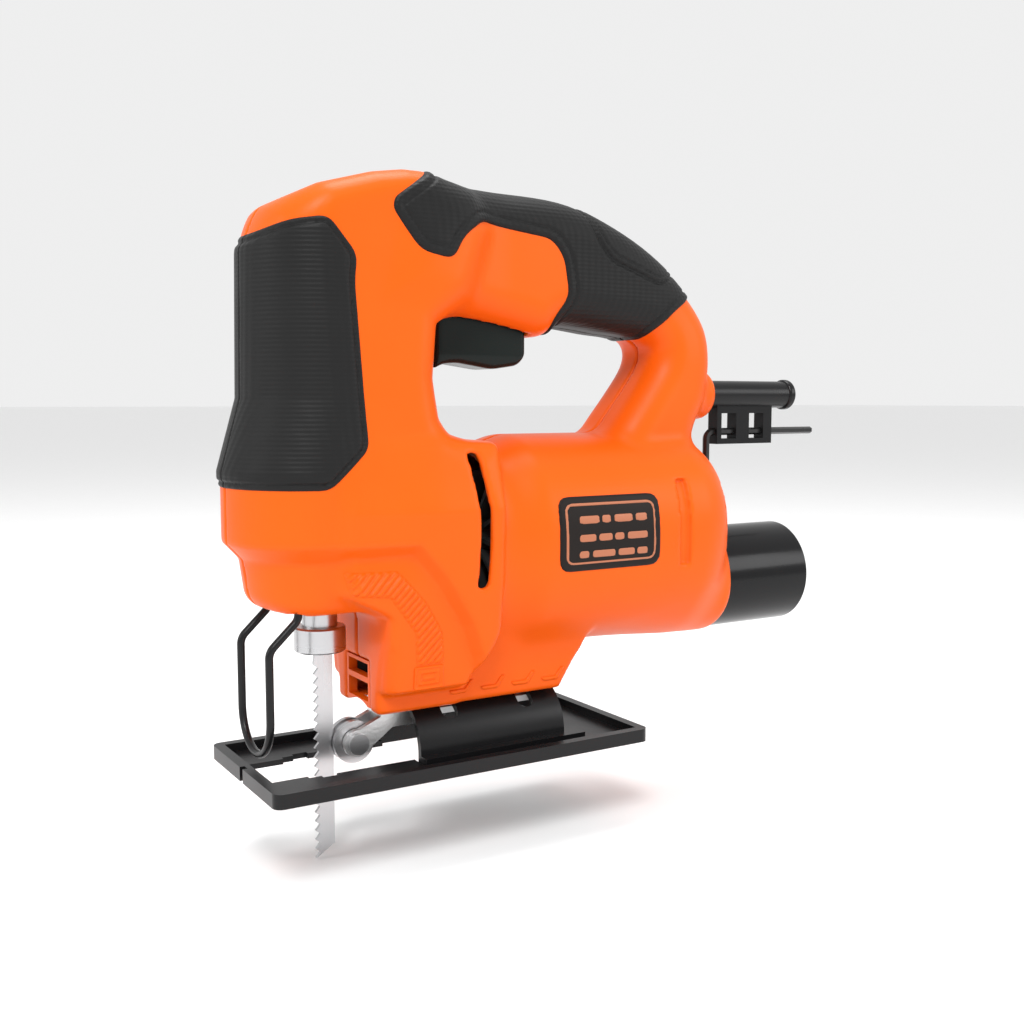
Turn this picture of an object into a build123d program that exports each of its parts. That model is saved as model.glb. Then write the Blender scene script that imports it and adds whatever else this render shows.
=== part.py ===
from build123d import *
import math
import os

# Corded jigsaw, millimetres.
# Origin: where the plunger axis meets the sole of the shoe.
# +X towards the front of the tool, +Y towards its left side, +Z up.

# ---------------------------------------------------------------- driving dimensions
# shoe
SHOE_FRONT = 26.5
SHOE_LENGTH = 135.0
SHOE_WIDTH = 60.7
RIM_HEIGHT = 4.5
RIM_WIDTH = 3.4
FLOOR_THICKNESS = 1.8
SHOE_CORNER = 3.0
BLADE_OPENING_WIDTH = 21.0
# tilt hump of the shoe, a half tube round the tilt axis
TILT_AXIS_Z = 4.0
HUMP_RADIUS = 17.0
HUMP_THICKNESS = 2.0
HUMP_FRONT = -27.0
HUMP_LENGTH = 55.0
TILT_RANGE = 45.0
TILT_GAP = 0.3
SHOE_SCREW_X = (-40.0, -69.0)
SHOE_SCREW_RADIUS = 2.5
# blade and plunger
BLADE_WIDTH = 6.4
BLADE_THICKNESS = 1.2
BLADE_BACK = -3.9
BLADE_TIP_Z = -29.0
TOOTH_PITCH = 3.0
TOOTH_DEPTH = 1.5
STROKE = 16.0
PLUNGER_RADIUS = 5.6
COLLAR_RADIUS = 8.2
COLLAR_BOTTOM = 38.5
COLLAR_HEIGHT = 8.0
# guide roller
ROLLER_RADIUS = 6.9
ROLLER_WIDTH = 6.0
ROLLER_GROOVE = 1.0
ROLLER_Z = 7.9
ROLLER_GAP = 0.35
# guard wire
GUARD_WIRE = 2.5
GUARD_HALF_WIDTH = 13.0
GUARD_X = 21.4
GUARD_BOTTOM = 8.6
# housing
WALL = 2.8
NOSE_HALF_WIDTH = 26.0
NOSE_FRONT = 23.0
BELT_FRONT = 29.5
CHIN_HALF_WIDTH = 19.5
CHIN_FRONT = 23.3
CHIN_BOTTOM = 52.5
NOSE_BACK = -31.0
BARREL_HALF_WIDTH = 33.0
BARREL_RADIUS = 36.0
BARREL_Z = 70.0
BARREL_FRONT = -24.0
BARREL_BACK = -153.0
HANDLE_HALF_WIDTH = 18.0
HANDLE_ROUND = 9.0
SKIRT_HALF_WIDTH = 16.0
SKIRT_BOTTOM = 19.0
GRIP_THICKNESS = 1.3
HANDLE_GRIP_THICKNESS = 1.5
HANDLE_GRIP_ROUND = 8.0
# gear train
MODULE = 1.0
PINION_TEETH = 10
GEAR_TEETH = 44
PROFILE_SHIFT = 0.41
BACKLASH = 0.08
GEAR_WIDTH = 7.0
GEAR_BACK = -24.0
CRANK_PIN_RADIUS = 3.0
# motor
MOTOR_Z = 72.0
SHAFT_RADIUS = 4.0
CORE_FRONT = -72.0
CORE_LENGTH = 34.0
ARMATURE_RADIUS = 15.5
AIR_GAP = 0.5
FIELD_RADIUS = 27.0
COMMUTATOR_RADIUS = 10.5
COMMUTATOR_FRONT = -116.0
COMMUTATOR_LENGTH = 13.0
BEARING_OUTER = 11.0
BEARING_WIDTH = 7.0
FRONT_BEARING_X = -39.5
REAR_BEARING_X = -135.5
FAN_RADIUS = 23.0
FAN_X = -60.0
# dust extraction
PORT_RADIUS = 19.25
PORT_WALL = 2.2
PORT_Z = 50.0
PORT_END = -193.5
PORT_INSIDE = 10.0
PORT_NECK_RADIUS = 15.0
# cord entry and hex key
SLEEVE_Z = 119.7
SLEEVE_RADIUS = 5.2
SLEEVE_FLANGE_RADIUS = 5.9
SLEEVE_BORE = 3.6
SLEEVE_END = -199.5
SLEEVE_LIP = 3.4
SLEEVE_START = -156.5
HOLDER_FRONT = -161.4
HOLDER_BACK = -189.4
HOLDER_HALF_WIDTH = 2.6
HOLDER_BOTTOM = 100.8
HOLDER_RIM = 2.0
KEY_SIZE = 2.4
KEY_Z = 105.5
KEY_END = -213.0
KEY_BEND_X = -158.2
KEY_FOOT_Z = 93.0
HOLDER_STRAP = 4.4
# trigger
TRIGGER_HALF_WIDTH = 8.5
TRIGGER_TRAVEL = 5.0
TRIGGER_GAP = 0.5
# fasteners
SCREW_RADIUS = 1.9
SCREW_HEAD_RADIUS = 3.6
BOSS_RADIUS = 4.2
FIT_GAP = 0.04

GEAR_DISTANCE = MODULE * (PINION_TEETH + GEAR_TEETH) / 2
GEAR_Z = MOTOR_Z + GEAR_DISTANCE
CRANK_RADIUS = STROKE / 2
SHOE_BACK = SHOE_FRONT - SHOE_LENGTH

nodes = {}


# ---------------------------------------------------------------- small helpers
def block(x0, x1, y0, y1, z0, z1):
    return Pos((x0 + x1) / 2, (y0 + y1) / 2, (z0 + z1) / 2) * Box(
        abs(x1 - x0), abs(y1 - y0), abs(z1 - z0))


def rod_x(radius, x0, x1, y=0.0, z=0.0):
    return Pos((x0 + x1) / 2, y, z) * Rot(0, 90, 0) * Cylinder(radius, abs(x1 - x0))


def rod_y(radius, y0, y1, x=0.0, z=0.0):
    return Pos(x, (y0 + y1) / 2, z) * Rot(90, 0, 0) * Cylinder(radius, abs(y1 - y0))


def rod_z(radius, z0, z1, x=0.0, y=0.0):
    return Pos(x, y, (z0 + z1) / 2) * Cylinder(radius, abs(z1 - z0))


def tube_x(outer, inner, x0, x1, y=0.0, z=0.0):
    return rod_x(outer, x0, x1, y, z) - rod_x(inner, min(x0, x1) - 1, max(x0, x1) + 1, y, z)


def outline(points):
    """A face in the X-Z plane from its corners."""
    return Face(Wire.make_polygon([(x, 0, z) for x, z in points], close=True))


def slab(points, half_width, inset=0.0):
    """An outline moved in by the inset and made solid on both sides of Y = 0."""
    face = outline(points)
    if inset:
        face = offset(face, -inset, kind=Kind.INTERSECTION).faces()[0]
    return extrude(face, half_width - inset, dir=(0, 1, 0), both=True)


def prism_x(points, x0, x1):
    """An outline in the Y-Z plane made solid from x0 to x1."""
    face = Face(Wire.make_polygon([(x0, y, z) for y, z in points], close=True))
    return extrude(face, x1 - x0, dir=(1, 0, 0))


def round_edges(shape, radius):
    """Rounds the outline edges on both flat sides of a slab."""
    sides = shape.edges().group_by(Axis.Y)
    return fillet(sides[0] + sides[-1], radius)


def put(name, shape):
    nodes[name] = shape


def helix_spring(radius, wire, length, turns):
    """A coil spring standing on Z = 0."""
    path = Helix(pitch=length / turns, height=length, radius=radius)
    start = Plane(origin=path @ 0, z_dir=path % 0)
    return sweep(start * Circle(wire), path=path)


def wire_along(points, radii, radius):
    path = FilletPolyline(*points, radius=radii)
    start = Plane(origin=path @ 0, z_dir=path % 0)
    return sweep(start * Circle(radius), path=path)


# ---------------------------------------------------------------- housing envelope
NOSE_TOP = [(40, 96), (NOSE_FRONT + 0.5, 96), (NOSE_FRONT, 166), (18, 174), (5, 181.2), (-14, 188),
            (-31, 190.7), (-60, 190.7), (-60, 96)]
BELT_SIDE = [(CHIN_FRONT, 70), (BELT_FRONT, 75.5), (BELT_FRONT, 97), (NOSE_FRONT, 114), (-60, 114),
             (-60, 70)]
CHIN_SIDE = [(18, CHIN_BOTTOM), (CHIN_FRONT, 59), (CHIN_FRONT, 90), (-60, 90), (-60, CHIN_BOTTOM)]
HANDLE_OUTER = [(-20, 187), (-41, 189), (-62, 186.6), (-86, 186), (-104, 181.5), (-125, 171.5),
                (-140, 160), (-149, 146), (-151.5, 131), (-149.5, 117), (-146, 101), (-145, 86)]
HANDLE_INNER = [(-104, 86), (-105, 103), (-113, 110.5), (-120, 120.5), (-125, 132), (-123, 138.5),
                (-115, 141.2), (-92, 144), (-84, 144.6), (-79, 140.4), (-73, 139.6), (-70, 141.5),
                (-31, 146), (-20, 150)]
SKIRT_FRONT = -13.0
SKIRT_BACK = -82.0
SKIRT_FLOOR = 25.0
SKIRT_SIDE = [(SKIRT_FRONT, 80), (SKIRT_FRONT, SKIRT_BOTTOM), (SKIRT_BACK, SKIRT_BOTTOM), (-90, 33),
              (-93, 40), (-93, 80)]


def column(front, half_width, side, inset):
    """An upright block with a round front, trimmed to a side outline."""
    depth = 0.8 * half_width
    straight = front - depth
    width = half_width - inset
    back = NOSE_BACK + inset
    plan = Face(Wire([
        Edge.make_line((back, -width, 0), (straight, -width, 0)),
        Edge.make_three_point_arc((straight, -width, 0), (front - inset, 0, 0), (straight, width, 0)),
        Edge.make_line((straight, width, 0), (back, width, 0)),
        Edge.make_line((back, width, 0), (back, -width, 0)),
    ]))
    return extrude(plan, 250, dir=(0, 0, 1)) & slab(side, half_width + 10, inset)


def nose(inset=0.0):
    return (column(NOSE_FRONT, NOSE_HALF_WIDTH, NOSE_TOP, inset)
            + column(BELT_FRONT, NOSE_HALF_WIDTH, BELT_SIDE, inset))


def chin(inset=0.0):
    return column(CHIN_FRONT, CHIN_HALF_WIDTH, CHIN_SIDE, inset)


def barrel(inset=0.0):
    start = Plane(origin=(BARREL_FRONT - inset, 0, BARREL_Z), x_dir=(0, 1, 0), z_dir=(-1, 0, 0))
    section = start * Ellipse(BARREL_HALF_WIDTH - inset, BARREL_RADIUS - inset)
    body = extrude(section, BARREL_FRONT - BARREL_BACK - 2 * inset)
    return fillet(body.edges().group_by(Axis.X)[0], 15)


def handle(inset=0.0):
    body = slab(HANDLE_OUTER + HANDLE_INNER, HANDLE_HALF_WIDTH, inset)
    return round_edges(body, HANDLE_ROUND - inset)


def skirt(inset=0.0):
    body = slab(SKIRT_SIDE, SKIRT_HALF_WIDTH, inset)
    if inset:
        return body - block(-200, 100, -50, 50, 0, SKIRT_FLOOR)
    return body


def envelope(inset=0.0):
    return nose(inset) + chin(inset) + barrel(inset) + handle(inset) + skirt(inset)


# ---------------------------------------------------------------- housing
# screw places: x, z and how deep the head seat lies from the middle plane
HOUSING_SCREWS = [(6, 166, 17), (15.5, 82, 15), (-36, 178, 10), (-107, 162, 10), (-124, 97, 14),
                  (-144, 92, 12), (-80, 30, 9)]
SCREW_INTO_LEFT = 9.0
TRIGGER_FRONT = -38.0
TRIGGER_BACK = -72.0
TRIGGER_TOP = 149.0
SWITCH_BOTTOM = 157.0
SWITCH_TOP = 176.0
PLATE_CENTRE = (-90.3, 74.0)
PLATE_SIZE = (41.0, 24.5)
PLATE_CORNER = 5.0
PLATE_DEPTH = 1.0
PLATE_PROUD = 0.4
NOZZLE_HALF_WIDTH = 9.0
NOZZLE_SILL = -1.5
NOZZLE_BOTTOM = TILT_AXIS_Z + HUMP_RADIUS + TILT_GAP + NOZZLE_SILL
NOZZLE_REST = 2.7
NOZZLE_TOP = 35.0
NOZZLE_DEPTH = 3.0
CORD_BOSS_RADIUS = 9.5
SLEEVE_ROOT = -147.0
CLAMP_X = (-136.0, -129.0)
CLAMP_SCREW_Z = (111.0, 128.5)
CLAMP_SEAT_Y = 3.6
VENT_X = -40.5
VENT_WIDTH = 3.2
VENT_SPAN = (60.0, 100.0)
LOUVRE_COUNT = 5
LOUVRE_FIRST_Z = 60.0
LOUVRE_PITCH = 6.0
LOUVRE_HEIGHT = 3.0
# cross walls that seat the front bearing, the field core's two ends and the rear bearing
CROSS_WALLS = ((-47.0, -44.0), (-80.0, -76.0), (-100.0, -96.0), (-140.0, -131.0))
CROSS_WALL_TOP = 105.0
CHIN_CLEARANCE = 1.2
DUCT_HALF_WIDTH = 10.0
DUCT_WALL = 1.2
DUCT_SIDE = [(-16.4, 26), (-16.4, 35.5), (-34, 43.8), (-139, 43.8), (-139, 36.8), (-40, 36.8), (-29, 26)]
GUARD_ROOT_X = 12.0


def plate_prism():
    x, z = PLATE_CENTRE
    w, h = PLATE_SIZE
    flat = block(x - w / 2, x + w / 2, -60, 60, z - h / 2, z + h / 2)
    return fillet(flat.edges().filter_by(Axis.Y), PLATE_CORNER)


def housing_shell():
    outer = envelope()
    shell = outer - envelope(WALL)
    for x0, x1 in CROSS_WALLS:
        shell += block(x0, x1, -50, 50, 30, CROSS_WALL_TOP) & outer
    shell += rod_x(CORD_BOSS_RADIUS, SLEEVE_START, SLEEVE_START + 12, z=SLEEVE_Z)
    for x, z, seat in HOUSING_SCREWS:
        shell += rod_y(BOSS_RADIUS + 1, -60, 60, x, z) & outer
    return shell


def housing_cuts():
    """What is taken out of both halves."""
    cuts = []
    # round seat that the shoe's hump turns in
    cuts.append(rod_x(HUMP_RADIUS + TILT_GAP, -200, SKIRT_FRONT + 1, z=TILT_AXIS_Z))
    for x in SHOE_SCREW_X:
        cuts.append(rod_z(SHOE_SCREW_RADIUS + FIT_GAP, 10, SKIRT_FLOOR + 1, x))
    # plunger and guard wire openings in the chin
    cuts.append(rod_z(PLUNGER_RADIUS + CHIN_CLEARANCE, 40, 58))
    for side in (-1, 1):
        cuts.append(rod_z(GUARD_WIRE / 2 + 0.15, 40, 62, GUARD_ROOT_X, side * GUARD_HALF_WIDTH))
    # dust intake
    cuts.append(block(SKIRT_FRONT - NOZZLE_DEPTH, SKIRT_FRONT + 1, -NOZZLE_HALF_WIDTH, NOZZLE_HALF_WIDTH,
                      NOZZLE_BOTTOM, NOZZLE_TOP))
    cuts.append(block(-28, SKIRT_FRONT - 1, -NOZZLE_HALF_WIDTH, NOZZLE_HALF_WIDTH,
                      NOZZLE_BOTTOM + NOZZLE_REST, NOZZLE_TOP))
    # trigger mouth
    cuts.append(block(TRIGGER_BACK - TRIGGER_GAP, TRIGGER_FRONT + TRIGGER_GAP,
                      -TRIGGER_HALF_WIDTH - TRIGGER_GAP, TRIGGER_HALF_WIDTH + TRIGGER_GAP, 125, 155))
    # cord entry, dust port neck, motor and bearing seats
    cuts.append(rod_x(SLEEVE_RADIUS + FIT_GAP, -170, SLEEVE_ROOT + 6, z=SLEEVE_Z))
    cuts.append(rod_x(PORT_NECK_RADIUS + FIT_GAP, BARREL_BACK - 5, BARREL_BACK + 12, z=PORT_Z))
    cuts.append(rod_x(FIELD_RADIUS + FIT_GAP, -112, -68, z=MOTOR_Z))
    cuts.append(rod_x(BEARING_OUTER + FIT_GAP, REAR_BEARING_X - 3.5, REAR_BEARING_X + 3.5, z=MOTOR_Z))
    cuts.append(rod_x(8, -141, -130, z=MOTOR_Z))
    cuts.append(rod_x(BEARING_OUTER + 1, -48, -43, z=MOTOR_Z))
    cuts.append(rod_x(GEAR_SHAFT_RADIUS + FIT_GAP, CASE_BACK, GEAR_BACK + GEAR_WIDTH + 1, z=GEAR_Z))
    cuts.append(duct_outer(0.2))
    # nameplate recesses
    cuts.append(plate_prism() - barrel(PLATE_DEPTH))
    # cooling vents: a bowed slot on each cheek and louvres in the tail
    for side in (-1, 1):
        cuts.append(block(VENT_X - VENT_WIDTH / 2, VENT_X + VENT_WIDTH / 2, side * 15, side * 40, *VENT_SPAN))
        for k in range(LOUVRE_COUNT):
            low = LOUVRE_FIRST_Z + LOUVRE_PITCH * k
            cuts.append(block(-147.5, -145.5, side * 8, side * 40, low, low + LOUVRE_HEIGHT))
    return cuts


def duct_outer(grow=0.0):
    """The duct's outside, with room all round where it is grown."""
    return slab(DUCT_SIDE, DUCT_HALF_WIDTH, -grow)


def make_housing():
    shell = housing_shell()
    for cut in housing_cuts():
        shell -= cut
    left = shell & block(-300, 100, 0, 100, -50, 300)
    right = shell & block(-300, 100, -100, 0, -50, 300)
    for x, z, seat in HOUSING_SCREWS:
        left -= rod_y(SCREW_RADIUS + FIT_GAP, -1, SCREW_INTO_LEFT + 0.5, x, z)
        right -= rod_y(SCREW_RADIUS + FIT_GAP, -60, 1, x, z)
        right -= rod_y(SCREW_HEAD_RADIUS + 0.3, -60, -seat, x, z)
    for z in CLAMP_SCREW_Z:
        right += rod_y(3.2, -HANDLE_HALF_WIDTH + 1, CLAMP_SEAT_Y, sum(CLAMP_X) / 2, z)
        right -= rod_y(1.4, -9, CLAMP_SEAT_Y + 1, sum(CLAMP_X) / 2, z)
    put("left_housing", left)
    put("right_housing", right)
    screws = []
    for x, z, seat in HOUSING_SCREWS:
        screw = rod_y(SCREW_RADIUS, -seat, SCREW_INTO_LEFT, x, z)
        screw += rod_y(SCREW_HEAD_RADIUS, -seat - 2.4, -seat, x, z)
        screw -= Pos(x, -seat - 1.6, z) * Rot(90, 0, 0) * extrude(RegularPolygon(1.9, 6), 1.7)
        screws.append(screw)
    put("housing_screws", Compound(children=[s.solids()[0] for s in screws]))


GRIP_SIDE = [(40, 93), (NOSE_FRONT + 20, 170), (3, 171), (-9, 162), (-9.5, 150), (-6, 128), (-5, 112),
             (-9, 104), (-9.5, 100), (-2, 92.5)]
HANDLE_GRIP_SIDE = [(-27, 186), (-31, 172), (-36, 164), (-46, 164), (-51, 170), (-56, 176), (-80, 176),
                    (-94, 170), (-104, 160), (-104, 150), (-96, 140), (-112, 134), (-124, 137),
                    (-128, 146), (-138, 150), (-147, 156), (-156, 162), (-150, 195), (-30, 195)]


def make_grips():
    body = envelope()
    nose_skin = nose(-GRIP_THICKNESS) & slab(GRIP_SIDE, 60)
    handle_skin = slab(HANDLE_OUTER + HANDLE_INNER, HANDLE_HALF_WIDTH, -HANDLE_GRIP_THICKNESS)
    handle_skin = round_edges(handle_skin, HANDLE_GRIP_ROUND) & slab(HANDLE_GRIP_SIDE, 60)
    for side, low, high in (("left", 0, 100), ("right", -100, 0)):
        half = block(-300, 100, low, high, -50, 300)
        put(side + "_nose_grip", (nose_skin & half) - body)
        put(side + "_handle_grip", (handle_skin & half) - body)


def make_nameplates():
    band = (plate_prism() & barrel(-PLATE_PROUD)) - barrel(PLATE_DEPTH)
    put("left_nameplate", band & block(-300, 0, 5, 60, 0, 200))
    put("right_nameplate", band & block(-300, 0, -60, -5, 0, 200))


# ---------------------------------------------------------------- shoe
OPENING_FRONT = 21.8
HUMP_SLOT_HALF = 2.9


def make_shoe():
    back = SHOE_BACK
    half = SHOE_WIDTH / 2
    plate = block(back, SHOE_FRONT, -half, half, 0, RIM_HEIGHT)
    plate = fillet(plate.edges().filter_by(Axis.Z), SHOE_CORNER)
    plate -= block(back + RIM_WIDTH, SHOE_FRONT - RIM_WIDTH, -half + RIM_WIDTH, half - RIM_WIDTH,
                   FLOOR_THICKNESS, RIM_HEIGHT + 1)
    inner = HUMP_RADIUS - HUMP_THICKNESS
    hump_back = HUMP_FRONT - HUMP_LENGTH
    hump = tube_x(HUMP_RADIUS, inner, HUMP_FRONT, hump_back, z=TILT_AXIS_Z)
    hump &= block(hump_back, HUMP_FRONT, -50, 50, TILT_AXIS_Z, 60)
    for side in (-1, 1):
        hump += block(hump_back, HUMP_FRONT, side * inner, side * HUMP_RADIUS, 0, TILT_AXIS_Z)
        # stiffening ledge along the foot
        hump += block(hump_back - 6, HUMP_FRONT, side * HUMP_RADIUS, side * (HUMP_RADIUS + 4), 0, 4.0)
        hump += block(hump_back - 6, hump_back, side * inner, side * HUMP_RADIUS, 0, 4.0)
    # blade opening, stepped, running on under the hump
    opening = BLADE_OPENING_WIDTH / 2
    plate -= block(8, OPENING_FRONT, -opening, opening, -1, 10)
    plate -= block(HUMP_FRONT - 1, 9, -opening - 1.6, opening + 1.6, -1, 10)
    plate -= block(0, 5, -opening - 3.2, opening + 3.2, -1, 10)
    plate -= block(hump_back, HUMP_FRONT, -inner, inner, -1, 10)
    # sighting notch in the front edge
    plate -= block(SHOE_FRONT - 1.6, SHOE_FRONT + 1, -1.4, 1.4, -1, 10)
    shoe = plate + hump
    for x in SHOE_SCREW_X:
        reach = HUMP_RADIUS * 2
        spread = reach * math.tan(math.radians(TILT_RANGE))
        wedge = prism_x([(0, TILT_AXIS_Z), (spread, TILT_AXIS_Z + reach), (-spread, TILT_AXIS_Z + reach)],
                        x - HUMP_SLOT_HALF, x + HUMP_SLOT_HALF)
        shoe -= wedge & block(x - 5, x + 5, -60, 60, TILT_AXIS_Z + 7, 60)
        for turn in (-TILT_RANGE, TILT_RANGE):
            end = Pos(x, 0, TILT_AXIS_Z) * Rot(turn, 0, 0) * Pos(0, 0, HUMP_RADIUS) * Cylinder(
                HUMP_SLOT_HALF, 12)
            shoe -= end
    put("shoe", shoe)


def sector(outer, inner, x0, x1, spread):
    """Part of a tube round the tilt axis, spread degrees each side of straight up."""
    reach = outer * 2
    side = reach * math.tan(math.radians(spread))
    wedge = prism_x([(0, TILT_AXIS_Z), (side, TILT_AXIS_Z + reach), (-side, TILT_AXIS_Z + reach)], x0, x1)
    return tube_x(outer, inner, x0, x1, z=TILT_AXIS_Z) & wedge


SADDLE_OUTER = HUMP_RADIUS - HUMP_THICKNESS - TILT_GAP
SADDLE_THICKNESS = 3.0
SPOT_FACE = 0.4
ROLLER_X = BLADE_BACK - ROLLER_GAP + ROLLER_GROOVE - ROLLER_RADIUS
FORK_INNER = ROLLER_WIDTH / 2 + 0.35
FORK_OUTER = 5.4
ROLLER_PIN_RADIUS = 1.5
ARM_FRONT = -18.5
SHOE_HEAD_RADIUS = 4.3


def make_shoe_clamp():
    inner = SADDLE_OUTER - SADDLE_THICKNESS
    seat_z = TILT_AXIS_Z + inner + SPOT_FACE
    saddle = sector(SADDLE_OUTER, inner, -78, -31, 33)
    arm = block(-36, ARM_FRONT, -FORK_OUTER, FORK_OUTER, 11.6, 17.2)
    cheeks = []
    for side in (-1, 1):
        y0, y1 = sorted((side * FORK_INNER, side * FORK_OUTER))
        cheek = rod_y(4.4, y0, y1, ROLLER_X, ROLLER_Z)
        web = slab([(ROLLER_X - 0.5, ROLLER_Z + 4.3), (ARM_FRONT - 4, 17.2), (ARM_FRONT - 4, 11.6),
                    (ROLLER_X - 1.5, ROLLER_Z - 4.2)], 30)
        cheek += web & block(-60, 20, y0, y1, 0, 40)
        cheeks.append(cheek)
    bracket = saddle + arm + cheeks[0] + cheeks[1]
    bracket -= rod_y(ROLLER_PIN_RADIUS + FIT_GAP, -20, 20, ROLLER_X, ROLLER_Z)
    screws = []
    nuts = []
    for x in SHOE_SCREW_X:
        bracket -= rod_z(SHOE_SCREW_RADIUS + FIT_GAP, 0, 40, x)
        bracket -= rod_z(SHOE_HEAD_RADIUS + 0.3, 0, seat_z, x)
        screw = rod_z(SHOE_SCREW_RADIUS, seat_z, SKIRT_FLOOR + 5, x)
        screw += rod_z(SHOE_HEAD_RADIUS, seat_z - 4, seat_z, x)
        screw -= Pos(x, 0, seat_z - 4.1) * extrude(RegularPolygon(2.3, 6), 2.6)
        screws.append(screw.solids()[0])
        nut = block(x - 4, x + 4, -4, 4, SKIRT_FLOOR + 0.1, SKIRT_FLOOR + 4.1)
        nuts.append((nut - rod_z(SHOE_SCREW_RADIUS + FIT_GAP, 0, 60, x)).solids()[0])
    put("roller_bracket", bracket)
    put("shoe_screws", Compound(children=screws))
    put("shoe_clamp_nuts", Compound(children=nuts))
    roller = rod_y(ROLLER_RADIUS, -ROLLER_WIDTH / 2, ROLLER_WIDTH / 2, ROLLER_X, ROLLER_Z)
    groove = rod_y(ROLLER_RADIUS + 1, -1.1, 1.1, ROLLER_X, ROLLER_Z)
    groove -= rod_y(ROLLER_RADIUS - ROLLER_GROOVE, -2, 2, ROLLER_X, ROLLER_Z)
    roller -= groove
    roller -= rod_y(ROLLER_PIN_RADIUS + FIT_GAP, -20, 20, ROLLER_X, ROLLER_Z)
    put("guide_roller", roller)
    pin = rod_y(ROLLER_PIN_RADIUS, -FORK_OUTER - 0.6, FORK_OUTER + 0.1, ROLLER_X, ROLLER_Z)
    pin += rod_y(3.4, FORK_OUTER, FORK_OUTER + 1.6, ROLLER_X, ROLLER_Z)
    put("roller_pin", pin)


def make_guard():
    top = 60.0
    low = GUARD_BOTTOM
    half = GUARD_HALF_WIDTH
    points = [(GUARD_ROOT_X, half, top), (GUARD_ROOT_X, half, 51.5), (GUARD_X, half, 42.5),
              (GUARD_X, half, low), (GUARD_X, -half, low),
              (GUARD_X, -half, 42.5), (GUARD_ROOT_X, -half, 51.5), (GUARD_ROOT_X, -half, top)]
    round_end = half - 0.3
    put("blade_guard", wire_along(points, [4.0, 5.0, round_end, round_end, 5.0, 4.0], GUARD_WIRE / 2))


# ---------------------------------------------------------------- blade and plunger
PLUNGER_TOP = 155.0
PLUNGER_BOTTOM = COLLAR_BOTTOM + 1.0
SLOT_GAP = 0.05
BLADE_SHANK_TOP = 58.0
YOKE_X = (-9.0, -4.0)
YOKE_HALF_WIDTH = 15.0
YOKE_HALF_HEIGHT = 6.0
CLAMP_BOLT_RADIUS = 2.5


def make_blade():
    front = BLADE_BACK + BLADE_WIDTH
    count = int((COLLAR_BOTTOM - BLADE_TIP_Z - 2) / TOOTH_PITCH)
    points = [(BLADE_BACK, BLADE_SHANK_TOP), (BLADE_BACK, BLADE_TIP_Z + 4.0), (front, BLADE_TIP_Z)]
    for k in range(count):
        z = BLADE_TIP_Z + k * TOOTH_PITCH
        points.append((front - TOOTH_DEPTH, z + 0.6 * TOOTH_PITCH))
        points.append((front, z + TOOTH_PITCH))
    end = BLADE_TIP_Z + count * TOOTH_PITCH
    points += [(front, end + 0.5), (front - 0.6, COLLAR_BOTTOM - 0.5), (front - 0.6, BLADE_SHANK_TOP)]
    put("blade", slab(points, BLADE_THICKNESS / 2))


def blade_slot():
    front = BLADE_BACK + BLADE_WIDTH - 0.6
    return block(BLADE_BACK - SLOT_GAP, front + SLOT_GAP, -BLADE_THICKNESS / 2 - SLOT_GAP,
                 BLADE_THICKNESS / 2 + SLOT_GAP, 0, BLADE_SHANK_TOP + SLOT_GAP)


def make_plunger():
    plunger = rod_z(PLUNGER_RADIUS, PLUNGER_BOTTOM, PLUNGER_TOP)
    crank_z = GEAR_Z + CRANK_RADIUS
    yoke = block(YOKE_X[0], YOKE_X[1], -YOKE_HALF_WIDTH, YOKE_HALF_WIDTH,
                 crank_z - YOKE_HALF_HEIGHT, crank_z + YOKE_HALF_HEIGHT)
    yoke -= block(YOKE_X[0] - 1, YOKE_X[0] + 3, -YOKE_HALF_WIDTH + 2.5, YOKE_HALF_WIDTH - 2.5,
                  crank_z - CRANK_PIN_RADIUS - 0.2, crank_z + CRANK_PIN_RADIUS + 0.2)
    plunger = plunger + yoke
    screw_z = COLLAR_BOTTOM + COLLAR_HEIGHT / 2
    bolt = rod_y(CLAMP_BOLT_RADIUS + FIT_GAP, -20, -BLADE_THICKNESS / 2, 0, screw_z)
    plunger = plunger - blade_slot() - bolt
    put("plunger", plunger)
    collar = rod_z(COLLAR_RADIUS, COLLAR_BOTTOM, COLLAR_BOTTOM + COLLAR_HEIGHT)
    collar = chamfer(collar.edges().filter_by(GeomType.CIRCLE), 0.5)
    collar -= rod_z(PLUNGER_RADIUS, PLUNGER_BOTTOM, 60)
    collar = collar - blade_slot() - bolt
    put("blade_collar", collar)
    screw = rod_y(CLAMP_BOLT_RADIUS, -COLLAR_RADIUS - 1.0, -BLADE_THICKNESS / 2 - 0.02, 0, screw_z)
    screw -= Pos(0, -COLLAR_RADIUS - 1.1, screw_z) * Rot(-90, 0, 0) * extrude(
        RegularPolygon(KEY_SIZE / 2 / math.cos(math.pi / 6), 6), 3)
    put("clamp_screw", screw)


def make_bushings():
    for name, z0, z1 in (("lower_plunger_bushing", CASE_BOTTOM, CASE_BOTTOM + ARM_HEIGHT),
                         ("upper_plunger_bushing", CASE_TOP - ARM_HEIGHT, CASE_TOP)):
        put(name, rod_z(BUSHING_RADIUS, z0, z1) - rod_z(PLUNGER_RADIUS + FIT_GAP, z0 - 1, z1 + 1))
    seal = rod_z(BUSHING_RADIUS, CASE_BOTTOM + ARM_HEIGHT + 0.1, CASE_BOTTOM + ARM_HEIGHT + 2.6)
    put("plunger_seal", seal - rod_z(PLUNGER_RADIUS + FIT_GAP, 0, 100))


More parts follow.
